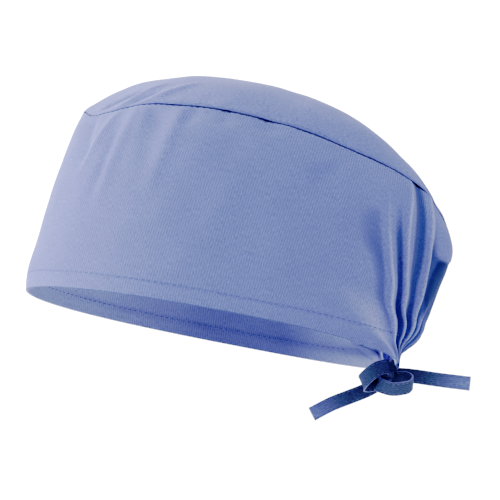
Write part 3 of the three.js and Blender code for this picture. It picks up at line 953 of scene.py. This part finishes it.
def dragRise(angle, up, lines, mmPerUp):
    rise = np.zeros(np.broadcast(angle, up).shape)
    for fromAngle, fromUp, toAngle, toUp, fore, aft, height in lines:
        alongX, alongY = (toAngle - fromAngle) * mmPerDegree, (toUp - fromUp) * mmPerUp
        x, y = (angle - fromAngle) * mmPerDegree, (up - fromUp) * mmPerUp
        length = math.hypot(alongX, alongY)
        run = (x * alongX + y * alongY) / length ** 2
        aside = (x * alongY - y * alongX) / length
        towardsNape = aside * np.sign(alongY) * (1 if fromAngle > 0 else -1)
        wide = np.where(towardsNape > 0, aft, fore)
        taper = smooth(-0.1, 0.12, run) * (1 - smooth(0.6, 1.1, run))
        rise += height * taper * bell(aside / wide)
    return rise


def clothWaves(form, waves):
    return sum(height * ripples(form, size, seed) for size, height, seed in waves)


# small puckers where the stitches draw the cloth up: all in mm
puckers = {"height": 0.5, "size": 7, "fromSeam": 4, "wide": 4}


def seamPuckers(form, fromSeam, seed):
    along = form * (1, 1, 0)
    fade = bell((fromSeam - puckers["fromSeam"]) / puckers["wide"])
    return puckers["height"] * ripples(along, puckers["size"], seed) * fade


def seamGroove(piece, turned, fromSeam):
    # how far the seam draws the cloth in, less over the forehead
    shallow = 0.35 + 0.65 * smooth(35, 65, np.abs(turned))
    return piece["grooveDepth"] * shallow * bell(fromSeam / piece["grooveWidth"])


def bandColumns():
    # where each column lies, once round the band: on a gather line or part of the way to
    # the next one, or evenly spaced along the side
    names = list(gatherLines)
    columns = []
    for side in (1, -1):
        half = []
        for k in range(len(names) - 1):
            gap = np.mean(gatherFans[names[k]]) - np.mean(gatherFans[names[k + 1]])
            count = max(9, round(gap * band["fanColumns"]))
            half += [(side, k, i / count) for i in range(count)]
        half.append((side, len(names) - 2, 1.0))
        columns += half if side > 0 else half[-2::-1]
    columns += [(0, 0, part) for part in np.linspace(-1, 1, band["sideColumns"] + 2)[1:-1]]
    return columns + columns[:1]


def columnAngles(columns, share):
    spread = curveThrough(fanSpread, "spread", share)
    names = list(gatherLines)
    angles = []
    for side, k, part in columns:
        if side:
            fromFan, _ = gatherLine(names[k], share, side)
            toFan, _ = gatherLine(names[k + 1], share, side)
            angles.append(180 - side * (fromFan + (toFan - fromFan) * part) * spread)
        else:
            angles.append(part * (180 - fanEdge * spread))
    return np.stack(angles, axis=-1)


def hemDepth(share):
    # how deep the inside of the casing lies below the outside of the cloth
    full = smooth(band["hemShare"] + 0.002, band["hemShare"] - 0.035, share)
    return float(band["cloth"] + 0.1 + (band["hem"] - band["cloth"] - 0.2) * full)


def bandSection():
    # share and depth below the outside, once round the strip's section, from inside the
    # seam, down the inside, round the rim and up the outside
    hemRound = band["hem"] / 2 / mmPerShare
    inside = [(1.0, band["lipDepth"])]
    inside += [(s, band["allowance"]) for s in np.linspace(0.995, band["allowanceShare"] + 0.004, 8)]
    top = np.linspace(band["allowanceShare"], band["hemShare"] + 0.03, band["insideRows"])
    top = np.append(top, band["hemShare"] + np.array([0.02, 0.012, 0.006]))
    inside += [(s, band["cloth"]) for s in top]
    inside += [(s, hemDepth(s)) for s in np.linspace(band["hemShare"], hemRound, 12)]
    rim = []
    for turn in np.linspace(0, math.pi, band["rimRows"] + 2)[1:-1]:
        rim.append((hemRound * (1 - math.sin(turn)), band["hem"] * (1 + math.cos(turn)) / 2))
    even = np.linspace(0, 1, band["outsideRows"])
    tight = even - 0.055 * np.sin(2 * math.pi * even)  # closer together at rim and seam
    outside = [(hemRound + (1 - hemRound) * s, 0.0) for s in tight]
    edge = [(1.0, band["cloth"] + 0.3)]
    return np.array(inside + rim + outside + edge + inside[:1])


def bandCloth(angle, share, outside):
    # the cloth's surface and the way out of it, at any angle and share; the seams' grooves
    # are in its outside alone
    turned = fromFront(angle)
    fromSeam = (1 - share) * mmPerShare
    form = bandForm(angle, share)
    top = smooth(0.9, 1, share)[..., None]
    out = unit(outward(bandForm, angle, share) * (1 - top) + seamOutward(angle) * top)
    soft = clothWaves(form, band["waves"]) * (1 - smooth(0.9, 1.0, share)) * smooth(0.0, 0.12, share)
    soft = soft + seamPuckers(form, fromSeam, 8.8)
    rise = gatherRise(fanNumberAt(angle, share), share)
    rise = rise + dragRise(turned, share, dragLines, mmPerShare) + soft
    fromHem = (share - band["hemSeam"]) * mmPerShare
    hemGroove = band["hemGroove"] * bell(fromHem / band["hemGrooveWidth"])
    groove = (seamGroove(band, turned, fromSeam) + hemGroove) * outside
    return form + out * (rise - groove)[..., None], out, rise, groove


def bandAcross(columns, angle):
    # millimetres along the flat strip, once round from the edge of the gathers
    turns = np.linspace(0, 720, 1441)
    run = runAlong(bandForm(turns, 0.6))
    lap = np.array([0 if side else 360 for side, _, _ in columns])
    lap[-1] = 360
    return np.interp(angle + lap, turns, run)


# the inside's painted shade comes and goes between these places, in mm towards the nape, and a
# painted shadow line runs up from the knot on the wearer's right, where a crease would be
insideShade = {
    "dark": 0.42,
    "from": (-95, 15),
    "to": (38, 92),
    "underRim": 0.7,
    "creaseShare": 0.082,
    "creaseSlope": 0.15,
    "creaseFan": 1.18,
    "creaseWide": 0.011,
    "creaseFrom": (-1.62, -1.5),
    "creaseTo": (-1.05, -1.2),
}


def insidePaintedShade(fanNumber, share, depth, along):
    # the painted shade, and how far it takes away the pale wrong side with its painted light
    shade = insideShade
    deep = smooth(*shade["from"], along) * (1 - smooth(*shade["to"], along))
    crease = share - shade["creaseShare"] - shade["creaseSlope"] * (-fanNumber - shade["creaseFan"])
    crease = bell(crease / shade["creaseWide"]) * smooth(*shade["creaseFrom"], fanNumber)
    crease = crease * smooth(*shade["creaseTo"], fanNumber)
    # painted shade on the rim's underside
    underRim = (depth > 0.1) * (share < band["hem"] / 2 / mmPerShare)
    shaded = np.maximum(shade["underRim"] * underRim, shade["dark"] * deep)
    return np.maximum(shaded, crease), np.maximum(deep, crease)


def makeBand():
    columns = bandColumns()
    section = bandSection()
    angle = columnAngles(columns, section[:, 0])
    share = section[:, :1] + 0 * angle
    depth = section[:, 1:] + 0 * angle
    outside = depth == 0
    surface, out, rise, groove = bandCloth(angle, share, outside)
    uvs = np.stack([bandAcross(columns, angle), share * mmPerShare], axis=-1)
    points = surface - out * depth[..., None]
    # the allowance reaches up behind the crown's edge, so that no light comes through the seam
    points[0] = points[-1] = crownForm(angle[0], band["lipRise"]) - out[0] * band["lipDepth"]
    fanNumber = fanNumberAt(angle, share)
    fanOff = np.abs(fanNumber)
    # the soft dents are shaded less than the gathers, and the rim more where it nears the knot
    dents = np.minimum(dragRise(fromFront(angle), share, dragLines, mmPerShare), 0)
    # painted shade in the dips and under the pouch, in the seam's and hem's grooves, and along the
    # rim near the knot
    paintedShade = bandPaintedShade(fanNumber, share, rise - 0.7 * dents) + 0.2 * groove
    paintedShade += 0.35 * (1 - smooth(0.02, 0.06, share)) * (1 - smooth(1.2, 1.5, fanOff))
    shaded, deep = insidePaintedShade(fanNumber, share, depth, bandForm(angle, share)[..., 1])
    taut = 0.8 * (1 - smooth(1.2, 1.6, fanOff)) * (1 - smooth(0.7, 1.0, share))
    mesh = clothGrid("bandCloth", toFrame(points), uvs, {
        "paintedShade": np.where(outside, np.clip(paintedShade, 0, 1), shaded),
        "wearAndHighlight": bandWearAndHighlight(fanNumber, share) * outside,
        # the pale wrong side inside, with painted light, less where the inside's painted shade is
        # deep
        "back": smooth(0.3, band["cloth"] * 0.9, depth) * (0.9 - 0.6 * deep),
        "taut": taut * outside,  # where the gathers pull the ribs flat
    })
    piece = finishPiece("bandCloth", mesh, clothMaterial)
    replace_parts(piece, "side_band")
    return piece


lineTurns = np.linspace(-180, 180, 900)  # where a line once round the band has its places


def bandLine(share, lift):
    # a line at one share, lift mm off the band's cloth or below it, and the way out
    surface, out, _, _ = bandCloth(lineTurns, np.full(lineTurns.shape, share), lift > 0)
    return toFrame(surface + out * lift), toFrame(out) / mm


bandPiece = makeBand()
print("band is", len(bandPiece.data.polygons), "faces")


# The crown: one flat oval, domed by the head

# soft folds, as on the band, but by how far they rise from the seam to the apex
crownLines = (
    (40, 0, 51, 0.25, 3, 3, 1.1),
    (51, 0, 64, 0.28, 3, 3, 0.9),
    (27, 0.04, 41, 0.18, 4, 4, -1.3),
    (45, 0.02, 54, 0.12, 2.5, 2.5, -0.8),
    (99, 0.02, 101, 0.3, 4, 4, 0.7),
    (104, 0.02, 107, 0.22, 3, 3, 0.5),
    (146, 0.02, 150, 0.22, 4, 3, 0.8),
    (-36, 0, -48, 0.24, 3, 3, 1),
    (-50, 0, -63, 0.24, 3, 4, 0.8),
    (-27, 0.04, -38, 0.16, 4, 4, -1.1),
    (-100, 0.02, -104, 0.25, 4, 4, 0.6),
    (-143, 0.02, -149, 0.24, 4, 3, 0.8),
)
mmPerRise = 100
crown = {
    "cloth": 0.9,  # mm thick
    "columns": 360,
    "outsideRows": 90,
    "insideRows": 40,
    "waves": ((30, 0.5, 11.3), (11, 0.2, 14.1)),
    "grooveDepth": 0.55,
    "grooveWidth": 1.2,
    "uvStretch": 1.12,  # the dome is longer over than it is flat
    "taut": 0.65,  # domed by the head, so its ribs hardly show
}


def makeCrown():
    coarse = np.linspace(1, 0, crown["insideRows"])
    fine = np.linspace(0, 1, crown["outsideRows"]) ** 1.3  # closer together at the seam
    depth = np.concatenate([np.full(len(coarse), crown["cloth"]), np.zeros(len(fine))])
    rise, depth, angle = np.broadcast_arrays(
        np.concatenate([coarse, fine])[:, None], depth[:, None],
        np.linspace(0, 360, crown["columns"] + 1)[None, :])
    turned = fromFront(angle)
    form = crownForm(angle, rise)
    # the way out turns to the seam's at the edge and straight up at the apex
    edge = (1 - smooth(0, 0.12, rise))[..., None]
    out = outward(crownForm, angle, np.minimum(rise, 0.97))
    out = unit(out * (1 - edge) + seamOutward(angle) * edge)
    atTop = smooth(0.9, 1.0, rise)[..., None]
    out = unit(out * (1 - atTop) + (0, 0, 1) * atTop)
    fromSeam = np.linalg.norm(form - crownForm(angle, 0 * rise), axis=-1)
    folds = dragRise(turned, rise, crownLines, mmPerRise) * smooth(0, 3, fromSeam)
    soft = clothWaves(form, crown["waves"]) * smooth(0, 12, fromSeam)
    soft = soft + folds + seamPuckers(form, fromSeam, 4.2)
    groove = seamGroove(crown, turned, fromSeam) * (depth == 0)
    points = toFrame(form + out * (soft - depth - groove)[..., None])
    uvs = form[..., :2] * (1, crown["uvStretch"])
    # painted shade in the seam's groove and in the dents
    paintedShade = np.clip(0.25 * groove + np.clip(-(folds + 0.3) / 2.4, 0, 1), 0, 1)
    taut = np.full(paintedShade.shape, crown["taut"])
    mesh = clothGrid("crownCloth", points, uvs, {"paintedShade": paintedShade, "taut": taut})
    rework(mesh, lambda bm: bmesh.ops.remove_doubles(
        bm, verts=bm.verts, dist=mergeWithin / 2))  # closes the apex
    piece = finishPiece("crownCloth", mesh, clothMaterial)
    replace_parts(piece, "crown_panel")
    return piece


crownPiece = makeCrown()
print("crown is", len(crownPiece.data.polygons), "faces")


# Stitching: the crown seam, and the hem as it shows outside and inside

seamSewing = {"length": 0.0021, "gap": 0.0013, "width": 0.0007}
hemSewing = {"length": 0.0019, "gap": 0.0014, "width": 0.0005}
threadLift = 0.05  # mm

seamPlaces, seamUps = bandLine(0.997, threadLift)
# over the forehead the seam is pulled shut and hardly shows its thread
seamShown = 0.5 + 0.5 * smooth(40, 85, np.abs(lineTurns))
seamPiece = stitchedLine("crownSeamStitches", seamPlaces, seamUps, seamSewing, seamThread,
                         seamShown)
hemPlaces, hemUps = bandLine(band["hemSeam"], threadLift)
hemPiece = stitchedLine("hemStitchesOutside", hemPlaces, hemUps, hemSewing, hemThread)
innerPlaces, innerUps = bandLine(band["hemSeam"], -hemDepth(band["hemSeam"]) - threadLift)
innerShown = slice(130, 770)  # lost in the gathers beyond these
innerPiece = stitchedLine("hemStitchesInside", innerPlaces[innerShown], -innerUps[innerShown],
                          hemSewing, hemThread)

print("stitching is done")
